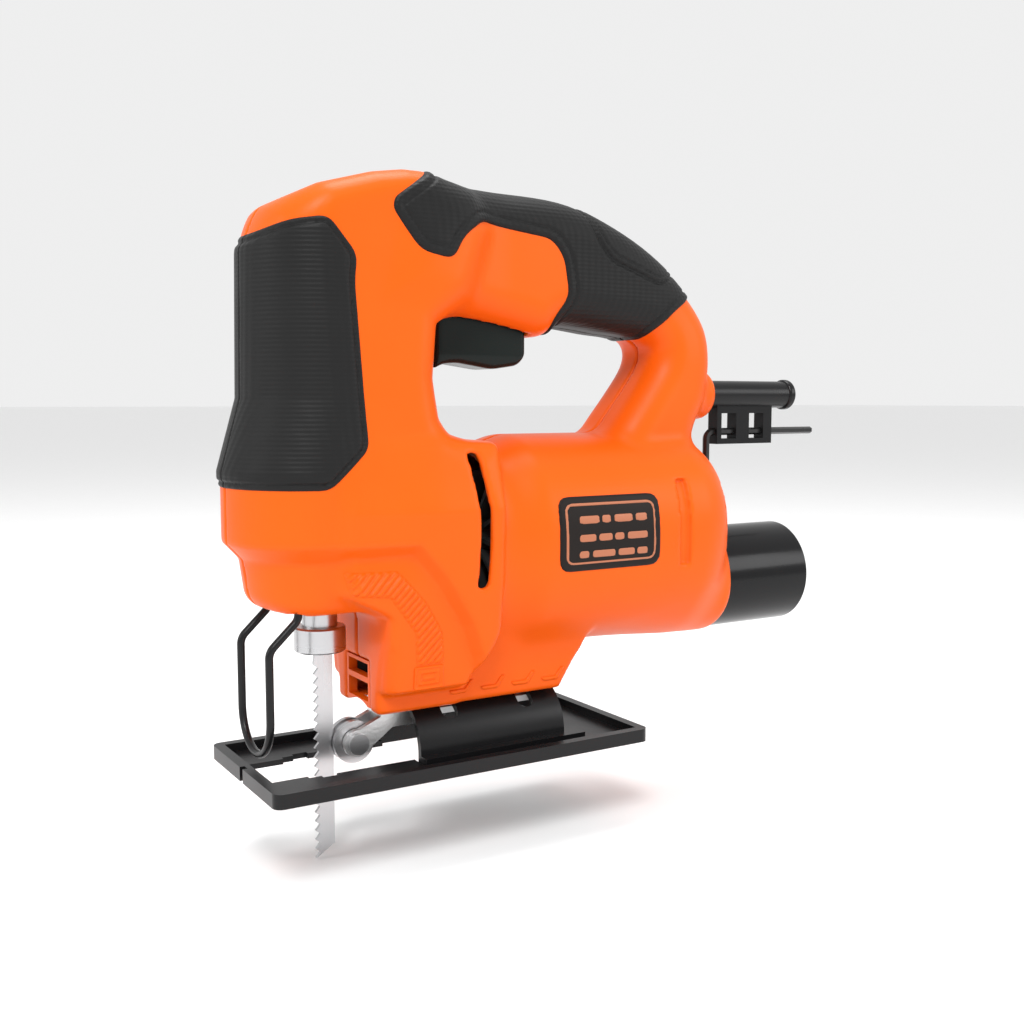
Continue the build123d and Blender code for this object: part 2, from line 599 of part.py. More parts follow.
# ---------------------------------------------------------------- gear train
CASE_BOTTOM = 56.0
CASE_TOP = 137.0
ARM_HEIGHT = 8.0
BUSHING_RADIUS = 7.6
CASE_BACK = -43.8
CASE_PLATE = (-28.0, -25.2)
CASE_BLOCK_TOP = 102.8
CASE_FRONT = 9.5
GEAR_SHAFT_RADIUS = 4.0
GEAR_BUSHING_RADIUS = 6.0


def involute(base, radius):
    """Polar angle of an involute point at the given radius."""
    angle = math.acos(min(1.0, base / radius))
    return math.tan(angle) - angle


def gear_face(teeth, shift, first_tooth):
    """Spur gear outline in the Y-Z plane round its own centre, first tooth at the given angle."""
    pitch = MODULE * teeth / 2
    base = pitch * math.cos(math.radians(20))
    tip = pitch + MODULE * (1 + shift)
    root = pitch - MODULE * (1.25 - shift)
    thick = MODULE * (math.pi / 2 + 2 * shift * math.tan(math.radians(20))) - BACKLASH
    half = thick / 2 / pitch + involute(base, pitch)
    start = max(base, root)
    radii = [start + (tip - start) * k / 5 for k in range(6)]
    points = []
    for tooth in range(teeth):
        middle = first_tooth + 2 * math.pi * tooth / teeth
        edge = half - involute(base, start)
        points.append((root, middle - edge))
        points += [(r, middle - half + involute(base, r)) for r in radii]
        points += [(r, middle + half - involute(base, r)) for r in reversed(radii)]
        points.append((root, middle + edge))
    return [(r * math.cos(a), r * math.sin(a)) for r, a in points]


def make_gear_train():
    gear = prism_x([(y, z + GEAR_Z) for y, z in
                    gear_face(GEAR_TEETH, -PROFILE_SHIFT, -math.pi / 2 + math.pi / GEAR_TEETH)],
                   GEAR_BACK, GEAR_BACK + GEAR_WIDTH)
    gear -= rod_x(GEAR_BUSHING_RADIUS + FIT_GAP, -60, 0, z=GEAR_Z)
    gear += rod_x(CRANK_PIN_RADIUS, GEAR_BACK + GEAR_WIDTH, YOKE_X[0] - 0.6, z=GEAR_Z + CRANK_RADIUS)
    put("drive_gear", gear)
    put("gear_bushing", tube_x(GEAR_BUSHING_RADIUS, GEAR_SHAFT_RADIUS + FIT_GAP, GEAR_BACK - 0.5,
                               GEAR_BACK + GEAR_WIDTH, z=GEAR_Z))
    put("gear_shaft", rod_x(GEAR_SHAFT_RADIUS, CASE_BACK, GEAR_BACK + GEAR_WIDTH + 1, z=GEAR_Z))
    case = block(CASE_BACK, CASE_PLATE[0] + 1, -22, 22, CASE_BOTTOM, CASE_BLOCK_TOP) & barrel(WALL + 0.1)
    case += block(*CASE_PLATE, -16.5, 16.5, CASE_BOTTOM, CASE_TOP)
    case += block(CASE_PLATE[0], CASE_FRONT, -11, 11, CASE_BOTTOM, CASE_BOTTOM + ARM_HEIGHT)
    case += block(CASE_PLATE[0], CASE_FRONT, -11, 11, CASE_TOP - ARM_HEIGHT, CASE_TOP)
    case -= rod_z(BUSHING_RADIUS + FIT_GAP, 50, 145)
    case -= rod_x(GEAR_SHAFT_RADIUS + FIT_GAP, -60, 0, z=GEAR_Z)
    case -= rod_x(BEARING_OUTER + FIT_GAP, CASE_BACK - 1, FRONT_BEARING_X + BEARING_WIDTH / 2, z=MOTOR_Z)
    case -= rod_x(MODULE * PINION_TEETH / 2 + 2.2, -60, 0, z=MOTOR_Z)
    put("gear_case", case)


# ---------------------------------------------------------------- motor
def make_motor():
    z = MOTOR_Z
    shaft = rod_x(SHAFT_RADIUS, REAR_BEARING_X - 5, GEAR_BACK, z=z)
    pinion = prism_x([(y, h + z) for y, h in gear_face(PINION_TEETH, PROFILE_SHIFT, math.pi / 2)],
                     GEAR_BACK - 0.6, GEAR_BACK + GEAR_WIDTH + 0.5)
    put("armature_shaft", shaft + pinion)
    core_back = CORE_FRONT - CORE_LENGTH
    core = rod_x(ARMATURE_RADIUS, core_back, CORE_FRONT, z=z) - rod_x(SHAFT_RADIUS, -200, 0, z=z)
    for k in range(12):
        angle = math.radians(30 * k)
        core -= rod_x(1.3, core_back - 1, CORE_FRONT + 1, (ARMATURE_RADIUS - 1.4) * math.cos(angle),
                      z + (ARMATURE_RADIUS - 1.4) * math.sin(angle))
    put("armature_core", core)
    ends = [tube_x(12.5, SHAFT_RADIUS, CORE_FRONT, CORE_FRONT + 6, z=z),
            tube_x(12.5, SHAFT_RADIUS, core_back - 6, core_back, z=z)]
    put("armature_windings", Compound(children=[fillet(e.edges().group_by(Axis.X)[side], 2.0).solids()[0]
                                                for e, side in zip(ends, (-1, 0))]))
    com_back = COMMUTATOR_FRONT - COMMUTATOR_LENGTH
    com = tube_x(COMMUTATOR_RADIUS, SHAFT_RADIUS, COMMUTATOR_FRONT, com_back, z=z)
    for k in range(12):
        com -= Pos(0, 0, z) * Rot(30 * k + 15, 0, 0) * block(com_back - 1, COMMUTATOR_FRONT + 1, -0.3, 0.3,
                                                             COMMUTATOR_RADIUS - 0.8, COMMUTATOR_RADIUS + 1)
    put("commutator", com)
    fan = tube_x(FAN_RADIUS, SHAFT_RADIUS, FAN_X - 3, FAN_X - 1.2, z=z)
    fan += tube_x(7, SHAFT_RADIUS, FAN_X - 3, FAN_X + 6, z=z)
    for k in range(11):
        fan += Pos(0, 0, z) * Rot(360 / 11 * k, 0, 0) * block(FAN_X - 2, FAN_X + 5, -0.7, 0.7, 6,
                                                             FAN_RADIUS - 1)
    put("fan", fan)
    field = tube_x(FIELD_RADIUS, ARMATURE_RADIUS + AIR_GAP, core_back, CORE_FRONT, z=z)
    put("field_core", field)
    coils = []
    for x0, x1 in ((CORE_FRONT, CORE_FRONT + 6), (core_back - 6, core_back)):
        ring = tube_x(FIELD_RADIUS - 2, ARMATURE_RADIUS + 2, x0, x1, z=z)
        for side in (-1, 1):
            low, high = sorted((side * 5, side * 40))
            coils.append((ring & block(-200, 0, -40, 40, z + low, z + high)).solids()[0])
    put("field_coils", Compound(children=coils))
    for name, x in (("front_bearing", FRONT_BEARING_X), ("rear_bearing", REAR_BEARING_X)):
        put(name, tube_x(BEARING_OUTER, SHAFT_RADIUS + FIT_GAP, x - BEARING_WIDTH / 2, x + BEARING_WIDTH / 2,
                         z=z))
    brushes, holders, springs = [], [], []
    middle = COMMUTATOR_FRONT - COMMUTATOR_LENGTH / 2
    for side in (-1, 1):
        y0, y1 = sorted((side * (COMMUTATOR_RADIUS + 0.3), side * 20))
        brushes.append(block(middle - 2.5, middle + 2.5, y0, y1, z - 3.5, z + 3.5).solids()[0])
        y0, y1 = sorted((side * 13, side * 28))
        holder = block(middle - 4, middle + 4, y0, y1, z - 5, z + 5)
        holder -= block(middle - 2.55, middle + 2.55, *sorted((side * 10, side * 27)), z - 3.55, z + 3.55)
        holders.append(holder.solids()[0])
        coil = Pos(middle, side * 20.5, z) * Rot(-90 * side, 0, 0) * helix_spring(1.8, 0.3, 6.0, 5)
        springs.append(coil.solids()[0])
    put("brushes", Compound(children=brushes))
    put("brush_holders", Compound(children=holders))
    put("brush_springs", Compound(children=springs))


# ---------------------------------------------------------------- switch and trigger
def make_controls():
    profile = [(TRIGGER_FRONT, TRIGGER_TOP), (TRIGGER_BACK, TRIGGER_TOP), (TRIGGER_BACK, 134.5),
               (TRIGGER_BACK + 3.5, 130.6), (-60, 130.0), (-50, 131.0), (-43, 129.4),
               (TRIGGER_FRONT, 129.0)]
    trigger = slab(profile, TRIGGER_HALF_WIDTH)
    stem = rod_z(2.0, TRIGGER_TOP - 1, SWITCH_BOTTOM + 3, -48)
    put("trigger", trigger + stem)
    spring = Pos(-62, 0, TRIGGER_TOP + 0.4) * helix_spring(3.2, 0.35, SWITCH_BOTTOM - TRIGGER_TOP - 0.8, 5)
    put("trigger_spring", spring)
    switch = block(-84, -43, -10, 10, SWITCH_BOTTOM, SWITCH_TOP)
    switch -= rod_z(2.05, SWITCH_BOTTOM - 1, SWITCH_BOTTOM + 10, -48)
    put("switch_body", switch)
    put("capacitor", fillet(block(-82, -60, -6, 6, SWITCH_TOP + 0.1, SWITCH_TOP + 6).edges().filter_by(
        Axis.X), 1.5))
    leads = []
    for side in (-1, 1):
        leads.append(wire_along([(-84.4, side * 5, 163), (-91, side * 5, 163), (-103, side * 5, 151),
                                 (-120, side * 5, 150)], [8, 12], 1.1).solids()[0])
    put("lead_wires", Compound(children=leads))


# ---------------------------------------------------------------- cord entry, key and holder
def make_cord_entry():
    z = SLEEVE_Z
    lip = rod_x(SLEEVE_FLANGE_RADIUS, SLEEVE_END, SLEEVE_END + SLEEVE_LIP, z=z)
    lip = fillet(lip.edges(), SLEEVE_LIP / 3)
    sleeve = rod_x(SLEEVE_RADIUS, SLEEVE_END + SLEEVE_LIP / 2, SLEEVE_ROOT, z=z) + lip
    sleeve -= rod_x(SLEEVE_BORE, -250, -100, z=z)
    put("cord_sleeve", sleeve)
    x0, x1 = CLAMP_X
    clamp = block(x0, x1, CLAMP_SEAT_Y, CLAMP_SEAT_Y + 3.2, CLAMP_SCREW_Z[0] - 3.5, CLAMP_SCREW_Z[1] + 3.5)
    clamp -= rod_x(SLEEVE_BORE + 1.2, x0 - 1, x1 + 1, z=z)
    screws = []
    for hole in CLAMP_SCREW_Z:
        clamp -= rod_y(1.5, 0, 20, sum(CLAMP_X) / 2, hole)
        screw = rod_y(1.36, -8, CLAMP_SEAT_Y + 3.2, sum(CLAMP_X) / 2, hole)
        screw += rod_y(2.8, CLAMP_SEAT_Y + 3.2, CLAMP_SEAT_Y + 5.0, sum(CLAMP_X) / 2, hole)
        screws.append(screw.solids()[0])
    put("cord_clamp", clamp)
    put("cord_clamp_screws", Compound(children=screws))


def make_key():
    top = SLEEVE_Z - SLEEVE_RADIUS
    holder = block(HOLDER_BACK, HOLDER_FRONT, -HOLDER_HALF_WIDTH, HOLDER_HALF_WIDTH, HOLDER_BOTTOM, top + 1.2)
    holder -= rod_x(SLEEVE_RADIUS, -250, -100, z=SLEEVE_Z)
    holder -= rod_x(KEY_SIZE / 2 / math.cos(math.pi / 6) + FIT_GAP, -250, -100, z=KEY_Z)
    # two windows, open right through above the key
    pitch = (HOLDER_FRONT - HOLDER_BACK) / 2
    for x in (HOLDER_FRONT - pitch, HOLDER_BACK):
        holder -= block(x + HOLDER_STRAP, x + pitch - HOLDER_STRAP / 2, -10, 10,
                        HOLDER_BOTTOM + HOLDER_RIM, top - HOLDER_RIM)
    put("hex_key_holder", holder)
    path = FilletPolyline((KEY_END, 0, KEY_Z), (KEY_BEND_X, 0, KEY_Z), (KEY_BEND_X, 0, KEY_FOOT_Z),
                          radius=2.8)
    start = Plane(origin=path @ 0, z_dir=path % 0)
    put("hex_key", sweep(start * RegularPolygon(KEY_SIZE / 2 / math.cos(math.pi / 6), 6), path=path))


# ---------------------------------------------------------------- dust extraction
def make_dust_parts():
    z = PORT_Z
    port = rod_x(PORT_RADIUS, PORT_END, BARREL_BACK - 0.4, z=z)
    port += rod_x(PORT_NECK_RADIUS, BARREL_BACK - 1, BARREL_BACK + PORT_INSIDE, z=z)
    port -= rod_x(PORT_RADIUS - PORT_WALL, PORT_END - 1, BARREL_BACK - 3, z=z)
    port -= rod_x(PORT_NECK_RADIUS - PORT_WALL, BARREL_BACK - 4, BARREL_BACK + PORT_INSIDE + 1, z=z)
    put("dust_port", port)
    face = outline(DUCT_SIDE)
    inner = offset(face, -DUCT_WALL, kind=Kind.INTERSECTION).faces()[0]
    duct = duct_outer() - extrude(inner, DUCT_HALF_WIDTH - DUCT_WALL, dir=(0, 1, 0), both=True)
    duct -= block(-18, -15, -DUCT_HALF_WIDTH + DUCT_WALL, DUCT_HALF_WIDTH - DUCT_WALL, 27.2, 34)
    duct -= block(-141, -136, -DUCT_HALF_WIDTH + DUCT_WALL, DUCT_HALF_WIDTH - DUCT_WALL, 38, 42.6)
    put("dust_duct", duct)
    wide = NOZZLE_HALF_WIDTH - 0.1
    nozzle = block(SKIRT_FRONT - NOZZLE_DEPTH, SKIRT_FRONT, -wide, wide, NOZZLE_BOTTOM + 0.1, NOZZLE_TOP - 0.1)
    for z0, z1 in ((21.6, 27.6), (29.4, 33.8)):
        nozzle -= block(-20, 0, -wide + 1.4, wide - 1.4, z0, z1)
    nozzle -= rod_x(HUMP_RADIUS + TILT_GAP, -200, 0, z=TILT_AXIS_Z)
    put("dust_nozzle", nozzle)


def main():
    make_housing()
    make_grips()
    make_nameplates()
    make_shoe()
    make_shoe_clamp()
    make_guard()
    make_blade()
    make_plunger()
    make_bushings()
    make_gear_train()
    make_motor()
    make_controls()
    make_cord_entry()
    make_key()
    make_dust_parts()
    os.makedirs("parts", exist_ok=True)
    for name, shape in nodes.items():
        export_step(shape, "parts/" + name + ".step")
        print(name, len(shape.solids()), round(shape.volume))


main()
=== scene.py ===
import math

import bpy
import numpy as np
from bpy.props import FloatProperty, FloatVectorProperty, PointerProperty
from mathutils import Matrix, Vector


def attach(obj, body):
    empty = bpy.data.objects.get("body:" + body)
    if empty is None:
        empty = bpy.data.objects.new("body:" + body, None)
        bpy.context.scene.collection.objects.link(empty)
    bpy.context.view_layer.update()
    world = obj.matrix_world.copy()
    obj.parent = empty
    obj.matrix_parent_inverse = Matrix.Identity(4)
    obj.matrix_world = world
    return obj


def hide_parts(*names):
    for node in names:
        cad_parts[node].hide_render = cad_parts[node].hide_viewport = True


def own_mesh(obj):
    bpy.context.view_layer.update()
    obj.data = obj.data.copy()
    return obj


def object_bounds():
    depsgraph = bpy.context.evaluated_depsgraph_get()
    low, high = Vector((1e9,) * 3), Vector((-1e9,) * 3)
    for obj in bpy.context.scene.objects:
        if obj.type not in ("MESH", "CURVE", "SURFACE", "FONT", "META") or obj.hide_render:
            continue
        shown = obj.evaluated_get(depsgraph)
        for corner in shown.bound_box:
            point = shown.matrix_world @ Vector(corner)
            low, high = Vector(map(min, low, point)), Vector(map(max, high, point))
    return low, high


bl_info = {
    "name": "Jigsaw maker",
    "version": (1, 0, 0),
    "blender": (4, 5, 0),
    "location": "View3D > Sidebar > Jigsaw",
    "description": "Moulded housing, grips and finishes of a corded jigsaw around its packed frame",
    "category": "Add Mesh",
}

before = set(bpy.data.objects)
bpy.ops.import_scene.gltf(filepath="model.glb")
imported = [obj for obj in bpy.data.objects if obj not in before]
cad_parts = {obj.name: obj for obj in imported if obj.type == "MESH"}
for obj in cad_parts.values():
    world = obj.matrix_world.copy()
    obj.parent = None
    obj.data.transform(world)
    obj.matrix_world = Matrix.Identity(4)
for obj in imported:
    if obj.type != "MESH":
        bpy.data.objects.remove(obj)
CAD_LOW, CAD_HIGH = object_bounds()

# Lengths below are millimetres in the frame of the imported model: +X front, +Y left, +Z up.
MM = 0.001
HOUSING = "housing"
JOINT_GAP = 0.12  # from the middle plane to each half


# ---------------------------------------------------------------- sizes and colours
class JigsawSizes(bpy.types.PropertyGroup):
    shell_step: FloatProperty(name="Shell mesh step", default=0.97, min=0.5, max=4,
                              description="Spacing of the housing's mesh in millimetres")
    detail_step: FloatProperty(name="Detail mesh step", default=0.5, min=0.3, max=3,
                               description="Spacing of grips, badges and ribs in millimetres")
    wall: FloatProperty(name="Wall", default=2.8, min=1, max=5,
                        description="Wall of the housing in millimetres")
    grip_height: FloatProperty(name="Grip height", default=1.15, min=0.2, max=1.25,
                               description="How far the soft grips stand proud, in millimetres")


class JigsawColours(bpy.types.PropertyGroup):
    shell: FloatVectorProperty(name="Shell", subtype="COLOR", size=3, default=(0.72, 0.092, 0.003),
                               description="Moulded housing")
    grip: FloatVectorProperty(name="Grip", subtype="COLOR", size=3, default=(0.010, 0.010, 0.010),
                              description="Soft overmoulded grips")
    black: FloatVectorProperty(name="Black", subtype="COLOR", size=3, default=(0.006, 0.006, 0.0065),
                               description="Black plastic and coated steel")
    steel: FloatVectorProperty(name="Steel", subtype="COLOR", size=3, default=(0.50, 0.50, 0.51),
                               description="Bare and plated steel")
    line: FloatVectorProperty(name="Badge line", subtype="COLOR", size=3, default=(0.36, 0.115, 0.05),
                              description="Raised lines on the side badges")


def sizes():
    return bpy.context.scene.jigsaw_sizes


def colours():
    return bpy.context.scene.jigsaw_colours


# ---------------------------------------------------------------- outlines and distance fields
def soft_line(points, closed=True, steps=5):
    """A soft curve through the points, as short straight pieces."""
    p = np.array(points, float)
    n = len(p)
    out = []
    for i in range(n if closed else n - 1):
        a, b, c, d = (p[(i + k) % n] if closed else p[min(max(i + k, 0), n - 1)] for k in (-1, 0, 1, 2))
        for t in np.arange(steps) / steps:
            out.append(0.5 * (2 * b + (c - a) * t + (2 * a - 5 * b + 4 * c - d) * t * t
                              + (3 * b - a - 3 * c + d) * t ** 3))
    if not closed:
        out.append(p[-1])
    return np.array(out)


def trimmed(points, radius, steps=4):
    """A closed outline with its corners rounded."""
    p = np.array(points, float)
    out = []
    for a, b, c in zip(np.roll(p, 1, axis=0), p, np.roll(p, -1, axis=0)):
        back, on = a - b, c - b
        cut = min(radius, 0.45 * np.hypot(*back), 0.45 * np.hypot(*on))
        s, e = b + back / np.hypot(*back) * cut, b + on / np.hypot(*on) * cut
        for t in np.arange(steps + 1) / steps:
            out.append((1 - t) ** 2 * s + 2 * t * (1 - t) * b + t * t * e)
    return np.array(out)


def outline_distance(points, x, z):
    """Signed distance in the side view to a closed outline, negative inside, as an array over x and z."""
    gx, gz = np.meshgrid(x, z, indexing="ij")
    best = np.full(gx.shape, 1e9)
    odd = np.zeros(gx.shape, bool)
    p = np.array(points, float)
    for a, b in zip(p, np.roll(p, -1, axis=0)):
        ex, ez = b - a
        wx, wz = gx - a[0], gz - a[1]
        t = np.clip((wx * ex + wz * ez) / (ex * ex + ez * ez + 1e-12), 0, 1)
        best = np.minimum(best, (wx - ex * t) ** 2 + (wz - ez * t) ** 2)
        crosses = (a[1] > gz) != (b[1] > gz)
        at = a[0] + (gz - a[1]) * ex / (ez if ez else 1e-12)
        odd ^= crosses & (gx < at)
    return (np.where(odd, -1, 1) * np.sqrt(best))[:, None, :]


def join(a, b, k):
    """Both shapes together, with a soft valley of width k between them."""
    h = np.clip(0.5 + 0.5 * (b - a) / k, 0, 1)
    return b + (a - b) * h - k * h * (1 - h)


def meet(a, b, r):
    """What both shapes share, with the edge between them rounded."""
    qa, qb = a + r, b + r
    return np.minimum(np.maximum(qa, qb), 0) + np.hypot(np.maximum(qa, 0), np.maximum(qb, 0)) - r


def ease(t):
    """0 to 1 with a soft start and a soft end."""
    t = np.clip(t, 0, 1)
    return t * t * (3 - 2 * t)


class Field:
    """Sample points over a block of space."""

    def __init__(self, low, high, step):
        self.low, self.step = np.array(low, float), step
        count = [int(math.ceil((h - l) / step)) + 1 for l, h in zip(low, high)]
        self.x, self.y, self.z = (l + step * np.arange(n) for l, n in zip(low, count))
        self.X, self.Y, self.Z = self.x[:, None, None], self.y[None, :, None], self.z[None, None, :]

    def side(self, points):
        """Distance to an outline drawn in the side view."""
        return outline_distance(points, self.x, self.z)

    def rod_x(self, radius, y, z):
        """Distance to a round rod along X."""
        return np.hypot(self.Y - y, self.Z - z) - radius

    def box(self, x0, x1, y0, y1, z0, z1, r=0.0):
        """Distance to a box with corners rounded to r."""
        qx = np.abs(self.X - (x0 + x1) / 2) - (x1 - x0) / 2 + r
        qy = np.abs(self.Y - (y0 + y1) / 2) - (y1 - y0) / 2 + r
        qz = np.abs(self.Z - (z0 + z1) / 2) - (z1 - z0) / 2 + r
        out = np.sqrt(np.maximum(qx, 0) ** 2 + np.maximum(qy, 0) ** 2 + np.maximum(qz, 0) ** 2)
        return out + np.minimum(np.maximum(qx, np.maximum(qy, qz)), 0) - r


# ---------------------------------------------------------------- the moulded outside
NOSE_SIDE = [(60, 40), (60, 152), (38, 164.5), (24, 169), (18.5, 174.2), (5, 180.8), (-12, 185.6),
             (-22, 187.2), (-29, 187.2), (-36, 183.6), (-44, 180), (-50, 170), (-42, 150), (-32.5, 141),
             (-30.8, 124), (-32.4, 112), (-35.6, 106.6), (-41.5, 103.4), (-50, 101.6), (-50, 40)]
HANDLE_TOP = [(-22, 174), (-34, 181.6), (-44, 184.0), (-60, 184.2), (-84, 183.2), (-102, 178.2),
              (-122, 169.0), (-137.0, 158.5), (-148.0, 145.6), (-150.6, 132), (-148.5, 117),
              (-143.2, 105), (-141, 86)]
HANDLE_LOOP = [(-95, 86), (-101, 100), (-109, 110.5), (-117.5, 121), (-124.0, 130.5), (-124, 136.5),
               (-117, 140.4), (-104, 141.8), (-90, 143.4), (-83, 142.8), (-78.5, 139.4), (-73, 138.6),
               (-64, 140.4), (-45, 144), (-31, 145.5), (-14, 149)]
SKIRT_SIDE = [(-13, 84), (-13, 19.2), (-80.8, 19.2), (-89.5, 32.5), (-90.5, 36), (-91.5, 44),
              (-95, 50), (-95, 84)]
RECESS_SIDE = [(40, 72.2), (-20.0, 72.2), (-28.2, 63), (-38.5, 47.5), (-43.0, 36), (-44.6, 26),
               (-44.6, 10), (40, 10)]
CORNER_SIDE = [(-1, 73), (-3.5, 52), (-15.5, 41), (-16.5, 10), (30, 10), (30, 70)]
NOSE_HEIGHTS = (54, 69.0, 74.4, 96, 118, 168)
BARREL_BACK, LOBE_BACK = -153.0, -153.3
SOLE_AXIS_Z, SOLE_SEAT_RADIUS = 4, 17.4
CORD_Z, CORD_HOLE, CORD_BOSS = 119.7, 5.3, 9.4
DUST_Z, DUST_HOLE = 50, 15.1
PLUNGER_HOLE = 6.9
GUARD_AT, GUARD_HOLE = (12, 13), 1.6
CHIN_HOLES_Z = (40, 60)
TRIGGER_OPENING = (-72.6, -37.4, -1, 9.1, 120, 155)
DUST_INTAKE = (-17, -12, -1, 9.1, 19.6, 35.2)
REAR_SLOTS, REAR_SLOT_PITCH = 5, 6
REAR_SLOT_EDGE = 0.5
CUT_EDGE, SPLIT_EDGE = 0.8, 0.35


def nose_shape(f):
    """The upright front block: round in plan, flared at the belt, with a set-back chin."""
    front = np.interp(f.Z, NOSE_HEIGHTS, (22.6, 24.6, 29.6, 29.6, 23.4, 22.6))
    half = np.interp(f.Z, NOSE_HEIGHTS, (19.6, 22.6, 26.8, 27.1, 25.4, 23.4))
    reach = 0.92 * half
    past = np.maximum(f.X - (front - reach), 0)
    plan = (np.sqrt((past / reach) ** 2 + (f.Y / half) ** 2) - 1) * half
    body = meet(plan, f.side(NOSE_SIDE), 8.0)
    floor = 52.6 - f.Z + np.maximum(f.X - 8, 0) ** 2 * 0.012
    return meet(body, floor, 4.0)


def gear_shape(f):
    """The cheek beside the gears: a raised collar behind, a set-back panel with the ribs below."""
    full = np.interp(f.Z, (20, 60, 84, 110), (26.0, 31.2, 32.6, 24.0))
    panel = 3.8 * np.clip(0.5 - f.side(RECESS_SIDE) / 3.6, 0, 1)
    corner = 7.0 * np.clip(-f.side(CORNER_SIDE) / 11.0, 0, 1)
    strip = 8.0 * np.clip((27.0 - f.Z) / 2.4, 0, 1)
    forward = 4.2 * ease((f.X + 30) / 34) * ease((f.Z - 60) / 12)
    half = np.maximum(full - panel - corner - forward, 17.0)
    half = np.maximum(half - strip, 16.0)
    back = -50.5 + 8.5 * ease((46 - f.Z) / 20)
    front = -13.0 + 14 * ease((f.Z - 50) / 10)
    body = meet(np.maximum(f.X - front, back - f.X), np.abs(f.Y) - half, 2.6)
    return meet(body, np.maximum(19.2 - f.Z, f.Z - 104), 1.5)


def barrel_shape(f):
    """The motor's barrel, with a lobe at the rear round the dust port."""
    u, v = np.abs(f.Y) / 32.3, np.abs(f.Z - 70) / 36.0
    ring = ((u ** 2.3 + v ** 2.3) ** (1 / 2.3) - 1) * 33 + 3.0 * ease((f.X + 68) / 14)
    body = meet(ring, np.maximum(f.X + 22, BARREL_BACK - f.X), 22.0)
    swell = ease((-f.X - 92) / 56)
    across, up = f.Y / (18.5 + 4.0 * swell), (f.Z - 50.2) / (16.2 + 3.9 * swell)
    lobe = (np.sqrt(across ** 2 + up ** 2) - 1) * 20
    tail = meet(lobe, np.maximum(f.X + 86, LOBE_BACK - f.X), 2.6)
    return join(body, tail, 5.0)


def handle_shape(f):
    """The closed loop handle, with the boss that holds the cord sleeve."""
    line = np.vstack([soft_line(HANDLE_TOP, False), soft_line(HANDLE_LOOP, False)])
    half = 16.6 + 5.5 * ease((f.X + 62) / 34) - 1.2 * ease((-f.X - 110) / 30)
    half = half + 1.0 * ease((150 - f.Z) / 20)
    body = meet(f.side(line), np.abs(f.Y) - half, 11.5)
    boss = meet(f.rod_x(CORD_BOSS, 0, CORD_Z), np.maximum(-156.4 - f.X, f.X + 140), 4.0)
    return join(body, boss, 3.5)


def skirt_shape(f):
    """The narrow part below the barrel that sits on the shoe."""
    half = 16.2 + 9 * ease((f.Z - 27) / 30)
    return meet(f.side(SKIRT_SIDE), np.abs(f.Y) - half, 1.8)


def body_shape(f):
    """The whole moulded outside, negative inside the plastic."""
    body = join(barrel_shape(f), skirt_shape(f), 3.0)
    body = join(body, gear_shape(f), 1.6)
    body = join(body, nose_shape(f), 6.0)
    return join(body, handle_shape(f), 3.5 + 5.0 * ease((f.X + 70) / 30))


# ---------------------------------------------------------------- mesh from a field
def net_mesh(name, field, f, mirror=False):
    """A closed mesh of quads round the negative part of a sampled field."""
    inside = field < 0
    cells = np.array(field.shape) - 1
    total = int(np.prod(cells))
    sums, hits, quads = np.zeros((3, total)), np.zeros(total), []
    for axis in range(3):
        lower = tuple(slice(0, -1) if k == axis else slice(None) for k in range(3))
        upper = tuple(slice(1, None) if k == axis else slice(None) for k in range(3))
        crossing = np.argwhere(inside[lower] != inside[upper])
        u, v = (axis + 1) % 3, (axis + 2) % 3
        safe = (crossing[:, [u, v]] > 0).all(1) & (crossing[:, [u, v]] < cells[[u, v]]).all(1)
        crossing = crossing[safe]
        a, b = (field[part][tuple(crossing.T)].astype(float) for part in (lower, upper))
        at = crossing.astype(float)
        at[:, axis] += a / (a - b)
        corners = []
        for du, dv in ((0, 0), (-1, 0), (-1, -1), (0, -1)):
            cell = crossing.copy()
            cell[:, u] += du
            cell[:, v] += dv
            index = np.ravel_multi_index(cell.T, cells)
            for k in range(3):
                sums[k] += np.bincount(index, at[:, k], total)
            hits += np.bincount(index, None, total)
            corners.append(index)
        quad = np.stack(corners, 1)
        quad[a > b] = quad[a > b][:, ::-1]
        quads.append(quad)
    used = np.flatnonzero(hits)
    points = (sums[:, used] / hits[used]).T * f.step + f.low
    number = np.zeros(total, np.int64)
    number[used] = np.arange(len(used))
    quads = number[np.vstack(quads)]
    if mirror:
        points[:, 1] *= -1
    else:
        quads = quads[:, ::-1]
    mesh = bpy.data.meshes.new(name)
    mesh.vertices.add(len(points))
    mesh.vertices.foreach_set("co", (points * MM).astype(np.float32).ravel())
    mesh.loops.add(quads.size)
    mesh.loops.foreach_set("vertex_index", quads.astype(np.int32).ravel())
    mesh.polygons.add(len(quads))
    mesh.polygons.foreach_set("loop_start", np.arange(0, quads.size, 4, dtype=np.int32))
    mesh.update(calc_edges=True)
    mesh.validate()
    mesh.polygons.foreach_set("use_smooth", np.ones(len(mesh.polygons), bool))
    made = bpy.data.objects.new(name, mesh)
    bpy.context.scene.collection.objects.link(made)
    return made


def coarse():
    """The factor on every mesh step; it is 1.0, so the steps stay as set."""
    return 1.0


def fit(piece, finish, body, slot, *nodes):
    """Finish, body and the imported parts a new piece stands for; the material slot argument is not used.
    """
    piece.data.materials.clear()
    piece.data.materials.append(finish)
    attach(piece, body)
    if nodes:
        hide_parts(*nodes)
    return piece


def flat(height):
    """The same height all over, for pad()."""
    return lambda f, depth: height + 0 * depth


